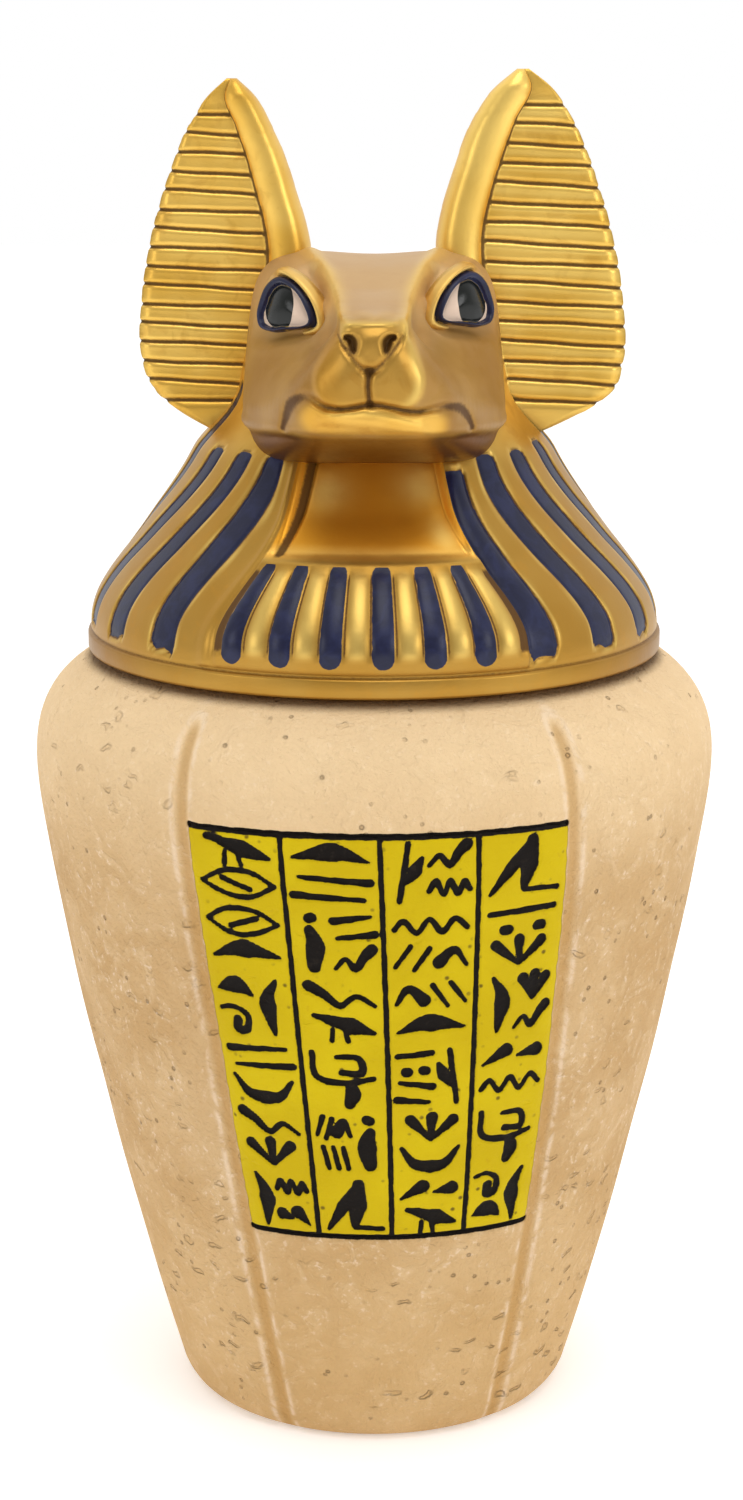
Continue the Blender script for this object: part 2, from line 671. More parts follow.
PLUG_LOW = LID_LOW - PLUG_DEEP
rim_outline = [
    (0, PLUG_LOW), (PLUG_RADIUS - 0.8, PLUG_LOW), (PLUG_RADIUS - 0.25, PLUG_LOW + 0.25),
    (PLUG_RADIUS, PLUG_LOW + 0.8), (PLUG_RADIUS, LID_LOW), (RIM_RADIUS - 0.5, LID_LOW),
    (RIM_RADIUS - 0.15, LID_LOW + 0.12), (RIM_RADIUS, LID_LOW + 0.45), (RIM_RADIUS, LID_LOW + 1.3),
    (RIM_RADIUS, BAND_TOP - 0.35), (RIM_RADIUS - 0.08, BAND_TOP - 0.1), (RIM_RADIUS - 0.4, BAND_TOP),
    (RIM_RADIUS - 0.62, BAND_TOP + 0.12),
]
wig_heights = np.concatenate([
    np.arange(BAND_TOP + 0.45, 122.5, 0.46), np.arange(122.5, 136, 0.62), np.arange(136, 151.2, 1.25),
    [151.9, 152.8, 153.6, 154.3, 154.8, 155.1],
])
wig_outline = [*rim_outline, *zip(bell_radius(wig_heights), wig_heights), (0, WIG_TOP)]
wig_mesh = mesh_from(turn_shell(wig_outline, len(wig_columns)), "wig")

points = points_of(wig_mesh)
height = points[:, 2]
radius = np.hypot(points[:, 0], points[:, 1])
angle = half_turns(column_place(angle_of(points), wig_columns))
on_bell = (height > BAND_TOP + 0.2) & (radius > 1)

# The stripes draw together up the neck, sooner at the chest than at the sides.
fan_most, fan_from, fan_to = (
    np.interp(angle, [row[0] for row in FAN_ROWS], [row[part] for row in FAN_ROWS]) for part in (1, 2, 3)
)
fan = fan_most * smoothstep(fan_from, fan_to, height)
drawn = angle - fan * np.sin(np.radians(angle))


def stripe_tops(angle):
    """Where the stripes end: under the jaw and the ears in front, and high on the crown behind."""
    short = 1.6 * smoothstep(5, 2, np.abs(angle - STRIPE_RIGHT))
    return 132.3 - short + 17.5 * smoothstep(80, 112, np.abs(angle))


nearest = stripe_middles[np.argmin(np.abs(angle[:, None] - stripe_middles[None]), axis=1)]
off_middle = np.abs(angle - nearest)
squeeze = np.clip(1 - np.radians(fan) * np.cos(np.radians(angle)), 0.4, 1.3)
stripe_half = round_sum(STRIPE_HALF, radius)
past_side = np.maximum(round_sum(off_middle, radius) * squeeze - (stripe_half - STRIPE_ROUND), 0)
past_end = np.maximum(height - (stripe_tops(nearest) - STRIPE_ROUND), 0)
ragged = 0.35 * np.sin(angle * 1.7 + 1) + 0.25 * np.sin(angle * 3.9)
past_start = np.maximum(BAND_TOP + STRIPE_START + ragged + STRIPE_ROUND - height, 0)
stripe_room = STRIPE_ROUND - np.hypot(past_side, past_end + past_start)
on_wig = on_bell & ((angle < LAPPET_LEFT - 1) | (angle > LAPPET_RIGHT))
stripe_room = np.where(on_wig, stripe_room, NOWHERE)

between = (angle > LAPPET_LEFT) & (angle < LAPPET_RIGHT)
flute_turn = (angle - FLUTE_START) / FLUTE_PITCH
flute_number = np.clip(np.floor(flute_turn), 0, FLUTE_COUNT - 1)
in_flute = np.clip(flute_turn - flute_number, 0, 1)
flute_edge = round_sum((0.5 - np.abs(in_flute - 0.5)) * FLUTE_PITCH, radius)
flute_half = round_sum(0.5 * FLUTE_PITCH, radius)
flute_ends = np.minimum(height - (BAND_TOP + 1.7), COLLAR_TOP - 0.1 - height)
on_collar = on_bell & between & (height < COLLAR_TOP + 0.1)
blue_flute = on_collar & (flute_number % 2 == 0) & (flute_number < FLUTE_COUNT - 0.5)
end_past = np.maximum(0.9 - flute_ends, 0)
flute_room = flute_half - 0.2 - np.hypot(flute_half - flute_edge, end_past)
flute_room = np.where(blue_flute, flute_room, NOWHERE)
blue_room = np.maximum(stripe_room, flute_room)

# The collar is a fluted cushion with a lip along its top; the chest above it is sunk and smooth.
cushion = np.sin(math.pi * np.clip((height - BAND_TOP) / (COLLAR_TOP + 1.2 - BAND_TOP), 0, 1)) ** 0.7
flute_lift = np.sqrt(np.clip(1 - ((flute_half - flute_edge) / flute_half) ** 2, 0, 1))
flute_fade = smoothstep(0.2, 1.6, flute_ends)
collar_lift = cushion + (FLUTE_RISE * flute_lift - 0.42) * flute_fade
left_gap = round_sum(angle - LAPPET_LEFT, radius)
right_gap = round_sum(LAPPET_RIGHT - angle, radius)
wall_up = smoothstep(0, 3.0, left_gap) * smoothstep(0, 1.6, right_gap)
channel = soft_peak(left_gap, 2.2, 1.0)
chest_fade = 1 - smoothstep(133, 140, height)
scoop = 0.3 + 0.7 * smoothstep(COLLAR_TOP, COLLAR_TOP + 6, height)
chest_drop = -(CHEST_DEEP * wall_up + CHANNEL_DEEP * channel) * chest_fade * scoop
lip_line = LIP_RISE * soft_peak(height, COLLAR_TOP + 0.1, 0.4)
lip = smoothstep(COLLAR_TOP + 0.1, COLLAR_TOP + 0.8, height)
front_relief = np.where(between, collar_lift * (1 - lip) + chest_drop * lip + lip_line, 0)

# Gold bands stand a little proud of the blue ones, with a cut line along each side of them.
sunk = smoothstep(-0.12, 0.12, stripe_room)
cut = soft_peak(stripe_room, 0, 0.26)
by_lappet = (angle < LAPPET_LEFT) & (angle > -38)
roll_edge = 0.45 * by_lappet * soft_peak(angle, LAPPET_LEFT - 2.2, 1.6)
off_first = np.minimum(np.abs(angle - STRIPE_RIGHT) / 4, 1)
first_roll = 0.55 * (1 - off_first ** 2) * smoothstep(112, 122, height)
rolls = (roll_edge + first_roll) * (1 - smoothstep(130, 136, height))
wig_relief = rolls - STRIPE_DEEP * sunk - STRIPE_CUT * cut
wig_relief *= 1 - smoothstep(stripe_tops(angle), stripe_tops(angle) + 2, height)
relief = np.where(on_bell, np.where(between, front_relief, wig_relief), 0)
relief *= smoothstep(BAND_TOP + 0.2, BAND_TOP + 0.9, height)

shaped = from_axis(np.where(on_bell, drawn, angle), radius + relief, height)
shaped[:, 0] *= 1 - 0.15 * smoothstep(131, 140, height)
place_points(wig_mesh, shaped)

# Where the dark wash lies, where the gold is deeper, and where it is rubbed bright.
seam = on_collar * soft_peak(flute_edge, 0, 0.16) * flute_fade
ledge = soft_peak(height, BAND_TOP + 0.15, 0.35) * (radius > 37)
in_channel = between * channel * chest_fade * lip
wash = np.maximum.reduce([seam, 0.8 * cut * on_wig, 0.5 * ledge, in_channel])
band_side = 0.4 * smoothstep(30, 75, np.abs(angle)) * (height < BAND_TOP + 0.3) * (height > LID_LOW - 1)
on_chest = on_bell & between & (height > COLLAR_TOP + 0.3)
chest_rub = 0.6 * soft_peak(height, COLLAR_TOP + 1, 0.7)
for glint_angle, glint_height, glint_wide, glint_share in GLINTS:
    from_glint = np.hypot((angle - glint_angle) / glint_wide, (height - glint_height) / 2.2)
    chest_rub = np.maximum(chest_rub, glint_share * soft_peak(from_glint, 0, 1))
flute_rub = 0.7 * flute_lift ** 3 * on_collar * flute_fade
patchy = 0.5 + 0.5 * np.sin(height * 0.9 + angle * 0.6) * np.sin(height * 0.37 - angle * 1.1)
edge_rub = 0.8 * patchy * soft_peak(stripe_room, -0.42, 0.2) * on_wig
wig_rub = np.where(between, np.where(height > COLLAR_TOP, chest_rub, flute_rub), edge_rub)
note_lid(
    wig_mesh, blue_room=blue_room, wash=np.clip(wash, 0, 1), shade=band_side,
    amber=0.8 * on_chest, rub=np.where(on_bell, wig_rub, 0),
)


# ---- Lid: the head ---------------------------------------------------------------------------------
# The jackal's broad head is cast in one with the wig: a flat crown, brows that run down from the ears
# to the muzzle, a square jaw and a puffed pad round the nose. Its gold is dulled by a brown glaze.

NOSE_REACH = 38.4
NOSE_ROUND = 3.8
JAW_EDGE = 135.9
PAD_RISE = 0.75
HEAD_ROUND = 120
HEAD_STATIONS = 56
HEAD_VOXEL = 0.53
FINE_FROM = 26.5  # how far forward the face's squares are halved
HEAD_ROWS = [
    (-10, 12.2, 154.9, 134, 0.75, 3.4, 5), (0, 16.4, 157.0, 131.5, 0.92, 5, 6),
    (9, 17.0, 156.6, 130.6, 0.9, 4.6, 6.5), (13.5, 16.8, 155.9, 130.7, 0.82, 3.6, 6.5),
    (17, 16.3, 154.9, 130.9, 0.64, 3.2, 6.2), (21, 15.4, 153.6, 131.4, 0.5, 3, 5.8),
    (29, 12.7, 151.8, 133.2, 0.44, 3, 4.4), (NOSE_REACH, 8.4, 150.7, 137, 0.56, 3, 3.6),
]


def head_section(forward):
    half, top, under, narrow, crown, jaw = through(HEAD_ROWS, forward)
    past = np.maximum(0, forward - (NOSE_REACH - NOSE_ROUND)) / NOSE_ROUND
    shut = np.sqrt(np.maximum(0, 1 - past ** 2))
    tall = (top - under) / 2 * (0.6 + 0.4 * shut)
    return half * (0.3 + 0.7 * shut), (top + under) / 2, tall, narrow, crown, jaw


def waist_at(up, narrow):
    """The head's width there as a share of its jaw's, where up runs from -1 to 1."""
    return 1 - (1 - narrow) * smoothstep(-0.4, 0.9, up)


def head_skin(forward, around):
    """A place on the head: forward of the ears, and round from its right side over the top."""
    half, middle, tall, narrow, crown, jaw = head_section(forward)
    across, upward = np.cos(around), np.sin(around)
    power = np.where(upward > 0, crown, jaw)
    up = np.sign(upward) * np.abs(upward) ** (2 / power)
    out = np.sign(across) * np.abs(across) ** (2 / power)
    return np.column_stack([half * out * waist_at(up, narrow), -forward, middle + tall * up])


def ring_tube(around, count):
    """A tube of rings laid one after another, open at both ends, and its points in that order."""
    shape = bmesh.new()
    bmesh.ops.create_circle(shape, segments=around, radius=1)
    laid = list(shape.verts)
    edges = list(shape.edges)
    for _ in range(count - 1):
        grown = bmesh.ops.extrude_edge_only(shape, edges=edges)["geom"]
        edges = [item for item in grown if isinstance(item, bmesh.types.BMEdge)]
        laid += [item for item in grown if isinstance(item, bmesh.types.BMVert)]
    return shape, laid


def turns_of(ring):
    """How far round its circle each point of a new ring stands."""
    return np.array([math.atan2(vert.co.y, vert.co.x) for vert in ring])


def finish_tube(shape, laid, spots, name):
    """Places a tube's points and closes its ends: gives its mesh, and the order its points were laid in."""
    for vert, spot in zip(laid, spots):
        vert.co = spot
    bmesh.ops.holes_fill(shape, edges=[edge for edge in shape.edges if edge.is_boundary], sides=0)
    bmesh.ops.recalc_face_normals(shape, faces=shape.faces)
    shape.verts.index_update()
    number = {vert: count for count, vert in enumerate(laid)}
    order = np.array([number[vert] for vert in shape.verts])
    return mesh_from(shape, name), order


def remeshed(mesh, voxel):
    """The same solid with an even skin of small squares."""
    holder = in_scene("holder", mesh)
    modifier = holder.modifiers.new("even", "REMESH")
    modifier.mode = "VOXEL"
    modifier.voxel_size = voxel
    even = bpy.data.meshes.new_from_object(holder.evaluated_get(bpy.context.evaluated_depsgraph_get()))
    bpy.data.objects.remove(holder)
    return even


nose_turn = np.linspace(0, math.pi / 2, 12)[1:-1]
nose_stations = NOSE_REACH - NOSE_ROUND * (1 - np.sin(nose_turn))
stations = np.concatenate([np.linspace(-10, 34, HEAD_STATIONS), nose_stations])
head_shape, laid = ring_tube(HEAD_ROUND, len(stations))
spots = head_skin(np.repeat(stations, HEAD_ROUND), turns_of(laid))
head_mesh = finish_tube(head_shape, laid, spots, "head")[0]

head_shape = bmesh.new()
head_shape.from_mesh(remeshed(head_mesh, HEAD_VOXEL))
for _ in range(4):
    bmesh.ops.smooth_vert(
        head_shape, verts=head_shape.verts, factor=0.5, use_axis_x=True, use_axis_y=True, use_axis_z=True,
    )
split_finely(head_shape, [face for face in head_shape.faces if -face.calc_center_median().y > FINE_FROM], 1)
head_mesh = mesh_from(head_shape, "head")


def reach_of_face(x, z):
    """How far forward the face's skin lies at places across and up."""
    low, high = np.zeros(len(x)), np.full(len(x), NOSE_REACH)
    for _ in range(20):
        forward = (low + high) / 2
        half, middle, tall, narrow, crown, jaw = head_section(forward)
        up = (z - middle) / tall
        power = np.where(up > 0, crown, jaw)
        inside = np.abs(up) ** power + np.abs(x / (half * waist_at(up, narrow))) ** power < 1
        low, high = np.where(inside, forward, low), np.where(inside, high, forward)
    return low


def onto_face(places):
    """Places given across and up, laid on the front of the face."""
    places = np.array(places, float)
    return np.column_stack([places[:, 0], -reach_of_face(places[:, 0], places[:, 1]), places[:, 1]])


def onto_crown(places):
    """Places given across and forward, laid on the top of the head."""
    laid = []
    for x, forward in places:
        around = np.linspace(0.02, math.pi / 2, 300)
        skin_line = head_skin(np.full(300, float(forward)), around)
        laid.append((x, -forward, np.interp(-abs(x), -skin_line[:, 0], skin_line[:, 2])))
    return np.array(laid)


points = points_of(head_mesh)
normals = rows_from(head_mesh.vertex_normals, "vector")
wash = np.zeros(len(points))
rub = np.zeros(len(points))


def near_route(route, widths, spots):
    """How far each spot is from a route, as a share of the stroke's half-width there."""
    return np.min([reach / half for reach, half in along_route(route, widths, spots)], axis=0)


def near_front(route, widths):
    """The same for the head's points and a route across and up the front of the face."""
    return near_route(route, widths, points[:, [0, 2]])


def ahead(low, high):
    """0 behind low and 1 before high, for the head's points, both measured forward of the ears."""
    return smoothstep(low, high, -points[:, 1])


def work(route, widths, lift):
    """Pushes the clay up or down along a route in space, and gives the stroke's print."""
    stroke = soft_peak(near_route(route, widths, points), 0, 1)
    points[:] += normals * (lift * stroke)[:, None]
    return stroke


def work_front(route, widths, lift, begins=22):
    """The same for a route across and up the front of the face, which the tool meets square on."""
    stroke = soft_peak(near_front(route, widths), 0, 1) * ahead(begins - 2, begins + 1)
    points[:, 1] -= lift * stroke
    return stroke


# The muzzle's pad: two puffed halves that meet under the nose, wider on the left.
pad_room = np.minimum(
    near_front([(-1.4, 147.6), (-3.0, 143.5)], (3.6, 4.3)),
    near_front([(1.3, 147.6), (2.2, 143.5)], (3.5, 3.9)),
)
pad_front = ahead(28, 31) * smoothstep(139.2, 140.6, points[:, 2])
on_pad = smoothstep(1.1, 0.86, pad_room) * pad_front
points[:, 1] -= PAD_RISE * on_pad * (1 - 0.25 * pad_room)

# The crown is a little dished, and its edges run down as two ridges to the corners of the nose.
work([(0, -2, 157), (0, -12, 156.3), (0, -20, 154.2)], (6.5, 6, 3.5), -0.7)
for side in (-1, 1):
    ridge = onto_crown(curve_through([(side * x, forward) for x, forward in (
        (8.3, 5), (7.6, 9), (6.9, 12), (5.8, 16), (4.7, 21), (4.0, 27), (3.6, 33), (3.3, 37.2),
    )], 5))
    rub += 0.45 * work(ridge, (1.4, 1.1, 1.0, 0.9, 0.8, 0.7), 0.75)
    hollow = [(8.2, -14, 155), (7.2, -20, 152.2), (6.4, -25, 150), (5.8, -30, 148)]
    work([(side * x, y, z) for x, y, z in hollow], (1.2, 1.8, 1.8, 1.3), -1.1)

# Nose: a flat wedge with a firm top edge, cut round below, and two comma-shaped nostrils.
nose_face = near_front([(-1.6, 149.0), (-0.4, 147.4), (0.9, 149.0)], (2.1, 2.3, 2.1))
points[:, 1] -= 0.55 * smoothstep(1.25, 0.85, nose_face) * ahead(30, 33)
rub += 0.6 * work_front([(-3.3, 150.2), (2.7, 150.3)], (0.35,), 0.45, begins=33)
nose_edge = curve_through([(-4.3, 148.8), (-3.3, 147.1), (-0.5, 144.6), (2.3, 147.1), (3.4, 148.8)], 6)
wash += 0.6 * work_front(nose_edge, (0.3, 0.45, 0.3), -0.55, begins=30)
for side in (-1, 1):
    nostril = [(side * x - 0.5, z) for x, z in ((2.8, 148.6), (2.2, 148.3), (1.9, 147.1))]
    wash += 1.5 * work_front(curve_through(nostril, 5), (0.35, 0.6, 0.3), -1.7, begins=30)
wash += 0.8 * work_front([(-0.55, 144.8), (-0.75, 142.8), (-0.5, 140.6)], (0.4, 0.35), -0.7, begins=30)

# The mouth wavers across under the pad and turns down at its corners; the lower lip swells below it.
lip_line = curve_through([
    (-10.9, 137.0), (-10.7, 138.6), (-9.9, 140.5), (-8.2, 141.3), (-6.2, 140.4), (-3.9, 140.1),
    (-0.4, 140.6), (2.0, 140.3), (5.1, 139.7), (8.3, 140.1), (10.3, 139.8), (11.5, 138.3), (11.8, 136.9),
], 5)
lip_cut = work_front(lip_line, (0.4, 0.95, 0.5, 0.34, 0.4, 0.36, 0.45, 0.85, 0.4), -1.0)
wash += 0.8 * lip_cut * (1 - 0.5 * soft_peak(np.abs(points[:, 0]), 7.4, 1.3))
work_front([(-6, 138.9), (0, 138.4), (5.5, 137.6)], (0.9, 1.0, 0.9), 0.45)
rub += 0.4 * work_front([(-5.2, 139.5), (0, 139.6), (5.5, 138.3)], (0.35,), 0.12)

# A firm edge runs round the jaw, and the skin turns under from it.
past_edge = points[:, 2] - JAW_EDGE - 0.9 * ahead(18, 32)
firm = 0.3 * soft_peak(past_edge, 0.3, 0.7) - 0.6 * smoothstep(-0.1, -1.2, past_edge)
points[:, :2] += normals[:, :2] * (firm * ahead(7, 13))[:, None]

place_points(head_mesh, points)

# The glaze is thin on the pad, the lower lip and the ridges, and the skin under the jaw is darkest.
lower_lip = np.exp(-near_front([(-7, 138.8), (0, 138.3), (7, 137.8)], (1.9,)) ** 4)
lower_lip *= ahead(26, 29) * smoothstep(-0.2, 0.4, past_edge)
under_jaw = smoothstep(0.1, -0.8, past_edge) * ahead(7, 11)
jaw_middle = 0.25 * smoothstep(11, 4, np.abs(points[:, 0])) * smoothstep(-3.5, -0.6, past_edge)
pad_side = soft_peak(pad_room, 0.82, 0.16) * smoothstep(2.5, 5.5, points[:, 0]) * pad_front
glaze = np.clip(1 - 0.95 * on_pad - 0.7 * lower_lip - 0.8 * np.clip(rub, 0, 1), 0, 1)
note_lid(
    head_mesh, wash=np.clip(wash, 0, 1), shade=np.maximum(under_jaw * (1 - jaw_middle), 0.55 * on_pad),
    rub=np.clip(0.8 * rub + 0.7 * pad_side, 0, 1), amber=np.clip(0.25 * on_pad + 0.2 * lower_lip, 0, 1),
    glaze=glaze * ahead(-5, 1) * (1 - 0.8 * under_jaw),
)


# ---- Lid: the ears ---------------------------------------------------------------------------------
# Two tall ears stand up from the wig, the one on +X a touch higher. Each has a thick smooth rim on its
# inner side and sixteen cut lines across its hollow, and the wash lies dark in the cuts.

EAR_LOW = 131.6
EAR_TIP = 179.38
RIB_TOP = 174.9
RIB_PITCH = 2.5
RIB_COUNT = 16
RIB_DEEP = 0.5
RIB_SWELL = 0.1
EAR_ROWS = [
    (EAR_LOW, 17.8, 15.5, 16.6), (134.3, 23.6, 13, 16.6), (136.5, 27.4, 12, 17), (139, 30.3, 11, 17),
    (143, 31.7, 9.5, 16.2), (150.2, 31.6, 8.4, 14.6), (158, 30.3, 8.2, 13.9), (165.8, 28, 10.2, 15.6),
    (173.5, 24.7, 13.2, 18.2), (177.3, 22.0, 15.7, 19.8), (EAR_TIP, 19.5, 18.1, 19.0),
]
EAR_RIM = 12  # points across the thick rim
EAR_FRONT = 28  # points across the whole front, and the rest go round the back
EAR_ROUND = 46

rib_rows = []
for rib in range(RIB_COUNT):
    groove_height = RIB_TOP - rib * RIB_PITCH
    rib_rows += [groove_height + step for step in (-0.42, -0.22, 0, 0.22, 0.42, 0.85, 1.25, 1.65)]
low_rows = list(np.linspace(0, 1, 12) ** 1.6 * 4.6 + EAR_LOW)
top_rows = [175.6, 176.1, 176.6, 177.1, 177.6, 178.1, 178.5, 178.85, 179.1, 179.3, EAR_TIP]
ear_heights = np.array(sorted({round(float(row), 2) for row in low_rows + rib_rows + top_rows}))


def ear_mesh_for(side, spread, lift):
    """One ear, as rings laid up its height: each goes over the rim, across the hollow and round behind."""
    up = ear_heights[:, None]
    outer, inner, border = through(EAR_ROWS, ear_heights)[..., None]
    share = (up - EAR_LOW) / (EAR_TIP - EAR_LOW)
    thick = 1 - 0.55 * share ** 2
    front = -4.8 + 2 * share
    shut = np.sqrt(np.clip((EAR_TIP - up) / 2.2, 0, 1)) * 0.85 + 0.15
    shut *= np.sqrt(np.clip((up - EAR_LOW) / 4.5, 0, 1)) * 0.75 + 0.25

    rib = np.round((RIB_TOP - up) / RIB_PITCH)
    off_rib = up - RIB_TOP + np.clip(rib, 0, RIB_COUNT - 1) * RIB_PITCH
    within = (up > RIB_TOP - (RIB_COUNT - 0.4) * RIB_PITCH) & (up < RIB_TOP + 1)
    cut = soft_peak(off_rib, 0, 0.27) * within
    swell = np.cos(math.pi * np.clip(off_rib / RIB_PITCH, -1, 1)) ** 2 * within

    across_rim = np.sin(np.linspace(-math.pi / 2, math.pi / 2, EAR_RIM))
    rim_x = (border + inner) / 2 + (border - inner) / 2 * across_rim
    arch = np.clip(1 - across_rim ** 2, 0, 1) ** 0.6
    rim_y = front + 1.4 * thick - (1.6 * thick + 0.3) * arch
    rim_y += np.where(across_rim < 0, 2.6 * thick * across_rim ** 4, 0)

    out = np.linspace(0, 1, EAR_FRONT - EAR_RIM + 1)[1:] ** 1.5
    cut_here = cut * smoothstep(-0.01, 0.03, out)
    hollow_x = border + (outer - border) * out - 0.22 * cut * out ** 4
    hollow_y = front + (1.9 - 0.7 * out + 0.5 * smoothstep(0.93, 1.0, out) ** 2) * thick
    hollow_y += RIB_DEEP * cut_here - RIB_SWELL * swell

    back_turn = np.linspace(0, math.pi, EAR_ROUND - EAR_FRONT + 2)[1:-1]
    back_x = (outer + inner) / 2 + (outer - inner) / 2 * np.cos(back_turn)
    back_y = front + (2.6 + 6.3 * np.sin(back_turn) ** 0.75) * thick

    x = np.hstack([rim_x, hollow_x, back_x])
    y = np.hstack([rim_y, hollow_y, back_y])
    centre = front + 3.6 * thick
    y = centre + (y - centre) * shut
    wander = 0.1 * np.sin(x * 0.22 + rib * 2.4 + side) + 0.03 * np.sin(x * 0.8 + rib * 1.7 + side)
    x = side * x * (1 + (spread - 1) * smoothstep(8, 26, x))
    z = up + lift * smoothstep(EAR_LOW, EAR_TIP, up) + wander * within
    z -= 0.05 * (x - side * 22) * smoothstep(134, 140, up) * (1 - smoothstep(174, 178, up))

    dark, bright = np.zeros((2, *x.shape))
    dark[:, EAR_RIM:EAR_FRONT] = cut_here
    rim_foot = slice(EAR_RIM - 1, EAR_RIM + 1)
    dark[:, rim_foot] = np.maximum(dark[:, rim_foot], 0.75 * smoothstep(140, 156, up))
    bright[:, 2:9] = 0.55
    bright[:, EAR_RIM + 1:EAR_FRONT] = 0.5 * smoothstep(0.3, 0.9, 0.5 - off_rib / RIB_PITCH)

    shape, laid = ring_tube(EAR_ROUND, len(ear_heights))
    mesh, order = finish_tube(shape, laid, np.dstack([x, y, z]).reshape(-1, 3), "ear")
    note_lid(mesh, wash=dark.ravel()[order], rub=(0.5 + 0.5 * side) * bright.ravel()[order])
    return mesh


ear_meshes = [ear_mesh_for(-1, 0.965, -0.6), ear_mesh_for(1, 1.035, 0.6)]


# ---- Lid: the eyes ---------------------------------------------------------------------------------
# Each eye is a low dome in a thick rolled lid, arched above and drawn down to the muzzle. The lid is
# painted blue, the eye a pinkish white with an upright dark green oval.

EYE_SPOKES = 72
DOME_RINGS = 13
LID_RINGS = 11
FOLD_RINGS = 10
FOLD_WIDE = 0.3  # how far the fold of skin by the lid reaches, as a share of the way out
EYE_STANDS = 0.35
DOME_RISE = 0.75
LID_RISE = 0.7
FOLD_RISE = 0.95
IRIS_HALF = (2.8, 3.1)
EYE_SAG = 0.028  # how soon the whole eye falls back with the face, across from its middle
EYE_CORNERS = [
    (5.0, -1.5), (4.8, 0.1), (3.6, 2.3), (1.3, 3.5), (-1.2, 2.9), (-3.4, 1.2), (-4.7, -1.0),
    (-4.5, -2.4), (-1.3, -3.0), (1.7, -3.4), (4.0, -3.0),
]


def eye_outline(around):
    """How far the lid's outer edge lies from the eye's middle: arched above, pointed towards the nose."""
    corners = np.array(EYE_CORNERS)
    edge = curve_through(np.vstack([corners[-2:], corners, corners[:2]]), 6)
    turn = np.unwrap(np.arctan2(edge[:, 1], edge[:, 0]))
    reach = np.hypot(edge[:, 0], edge[:, 1])
    order = np.argsort(turn)
    return np.interp(np.mod(around - turn.min(), 2 * math.pi) + turn.min(), turn[order], reach[order])


def eye_frame(x, z, turn):
    """An eye's middle on the face, and its own ways across, up and out."""
    turn = math.radians(turn)
    normal = Vector((math.sin(turn), -math.cos(turn), 0.14)).normalized()
    level = Vector((0, 0, 1)).cross(normal).normalized()
    middle = Vector(onto_face([(x, z)])[0]) + EYE_STANDS * normal
    return [np.array(part) for part in (middle, level, normal.cross(level), normal)]


def press_eye(mesh, side, x, z, turn):
    """Presses the head's skin in where an eye will sit, so that the whole lid stands clear of it."""
    centre, level, upright, normal = eye_frame(x, z, turn)
    skin_points = points_of(mesh)
    away = skin_points - centre
    across, upward, raised = side * away @ level, away @ upright, away @ normal
    share = np.hypot(across, upward) / eye_outline(np.arctan2(upward, across))
    above = smoothstep(-0.35, 0.5, np.sin(np.arctan2(upward, across)))
    pressed = smoothstep(1.75, 1.12, share + 0.3 * above) * (np.abs(raised) < 9)
    too_high = np.maximum(raised + EYE_STANDS + EYE_SAG * across * across, 0)
    place_points(mesh, skin_points - normal * (too_high * pressed)[:, None])


def eye_mesh_for(side, x, z, turn):
    """One eye, as rings laid outward from its middle over the dome, the lid and the fold above it."""
    ring_count = DOME_RINGS + LID_RINGS + FOLD_RINGS + 1
    shape, laid = ring_tube(EYE_SPOKES, ring_count)
    around = turns_of(laid[:EYE_SPOKES])
    inner = 0.7 + 0.14 * smoothstep(0.1, -0.7, np.sin(around))
    inner += 0.05 * smoothstep(0.2, -0.8, np.cos(around))
    by_nose = smoothstep(-0.2, 0.5, 0.6 * np.sin(around) - 0.8 * np.cos(around))
    plain = np.ones(EYE_SPOKES)
    rings = []  # the share of the way out to the lid's edge, and how high the ring stands
    for t in np.linspace(0.07, 1, DOME_RINGS):
        rings.append((inner * t, DOME_RISE * (1 - t ** 2) * plain))
    for t in np.linspace(0, 1, LID_RINGS):
        roll = 0.1 + LID_RISE * math.sin(math.pi * t) ** 0.6
        rings.append((inner + 0.02 + (1 - inner) * t, roll * plain))
    for t in np.linspace(0, 1, FOLD_RINGS):
        fold = FOLD_RISE * by_nose * math.sin(math.pi * t) ** 0.6 - 0.5 * (1.6 - by_nose)
        rings.append(((1.04 + FOLD_WIDE * t) * plain, fold))
    rings.append(((1.1 + FOLD_WIDE) * plain, -1.6 * (1.6 - by_nose)))
    share, raised = np.array(rings).transpose(1, 0, 2).reshape(2, -1)
    turn_here, lid_inner, gilded = (np.tile(values, ring_count) for values in (around, inner, by_nose))
    reach = eye_outline(turn_here)
    across, upward = np.cos(turn_here) * reach * share, np.sin(turn_here) * reach * share
    centre, level, upright, normal = eye_frame(x, z, turn)
    raised -= EYE_SAG * across * across
    spots = centre + np.outer(side * across, level) + np.outer(upward, upright) + np.outer(raised, normal)
    mesh, order = finish_tube(shape, laid, spots, "eye")
    laid_values = (across, upward, share, reach, lid_inner, gilded)
    across, upward, share, reach, lid_inner, gilded = (values[order] for values in laid_values)
    iris = np.hypot((across - 0.95 - 0.12 * upward) / IRIS_HALF[0], (upward + 0.05) / IRIS_HALF[1])
    note_lid(
        mesh, blue_room=np.minimum(share - lid_inner, 1.03 - share) * reach,
        eye_room=(lid_inner + 0.1 - share) * reach,
        iris_room=2 * (1 - iris),
        wash=0.7 * soft_peak((share - 1.05) * reach, 0, 0.2),
        glaze=0.8 * smoothstep(1.0, 1.1, share) * (1 - 0.6 * gilded),
        rub=0.6 * gilded * soft_peak(share, 1.12, 0.05),
    )
    return mesh


eye_meshes = []
for eye in ((-1, -11.0, 150.8, -42), (1, 11.4, 151.4, 42)):
    press_eye(head_mesh, *eye)
    eye_meshes.append(eye_mesh_for(*eye))


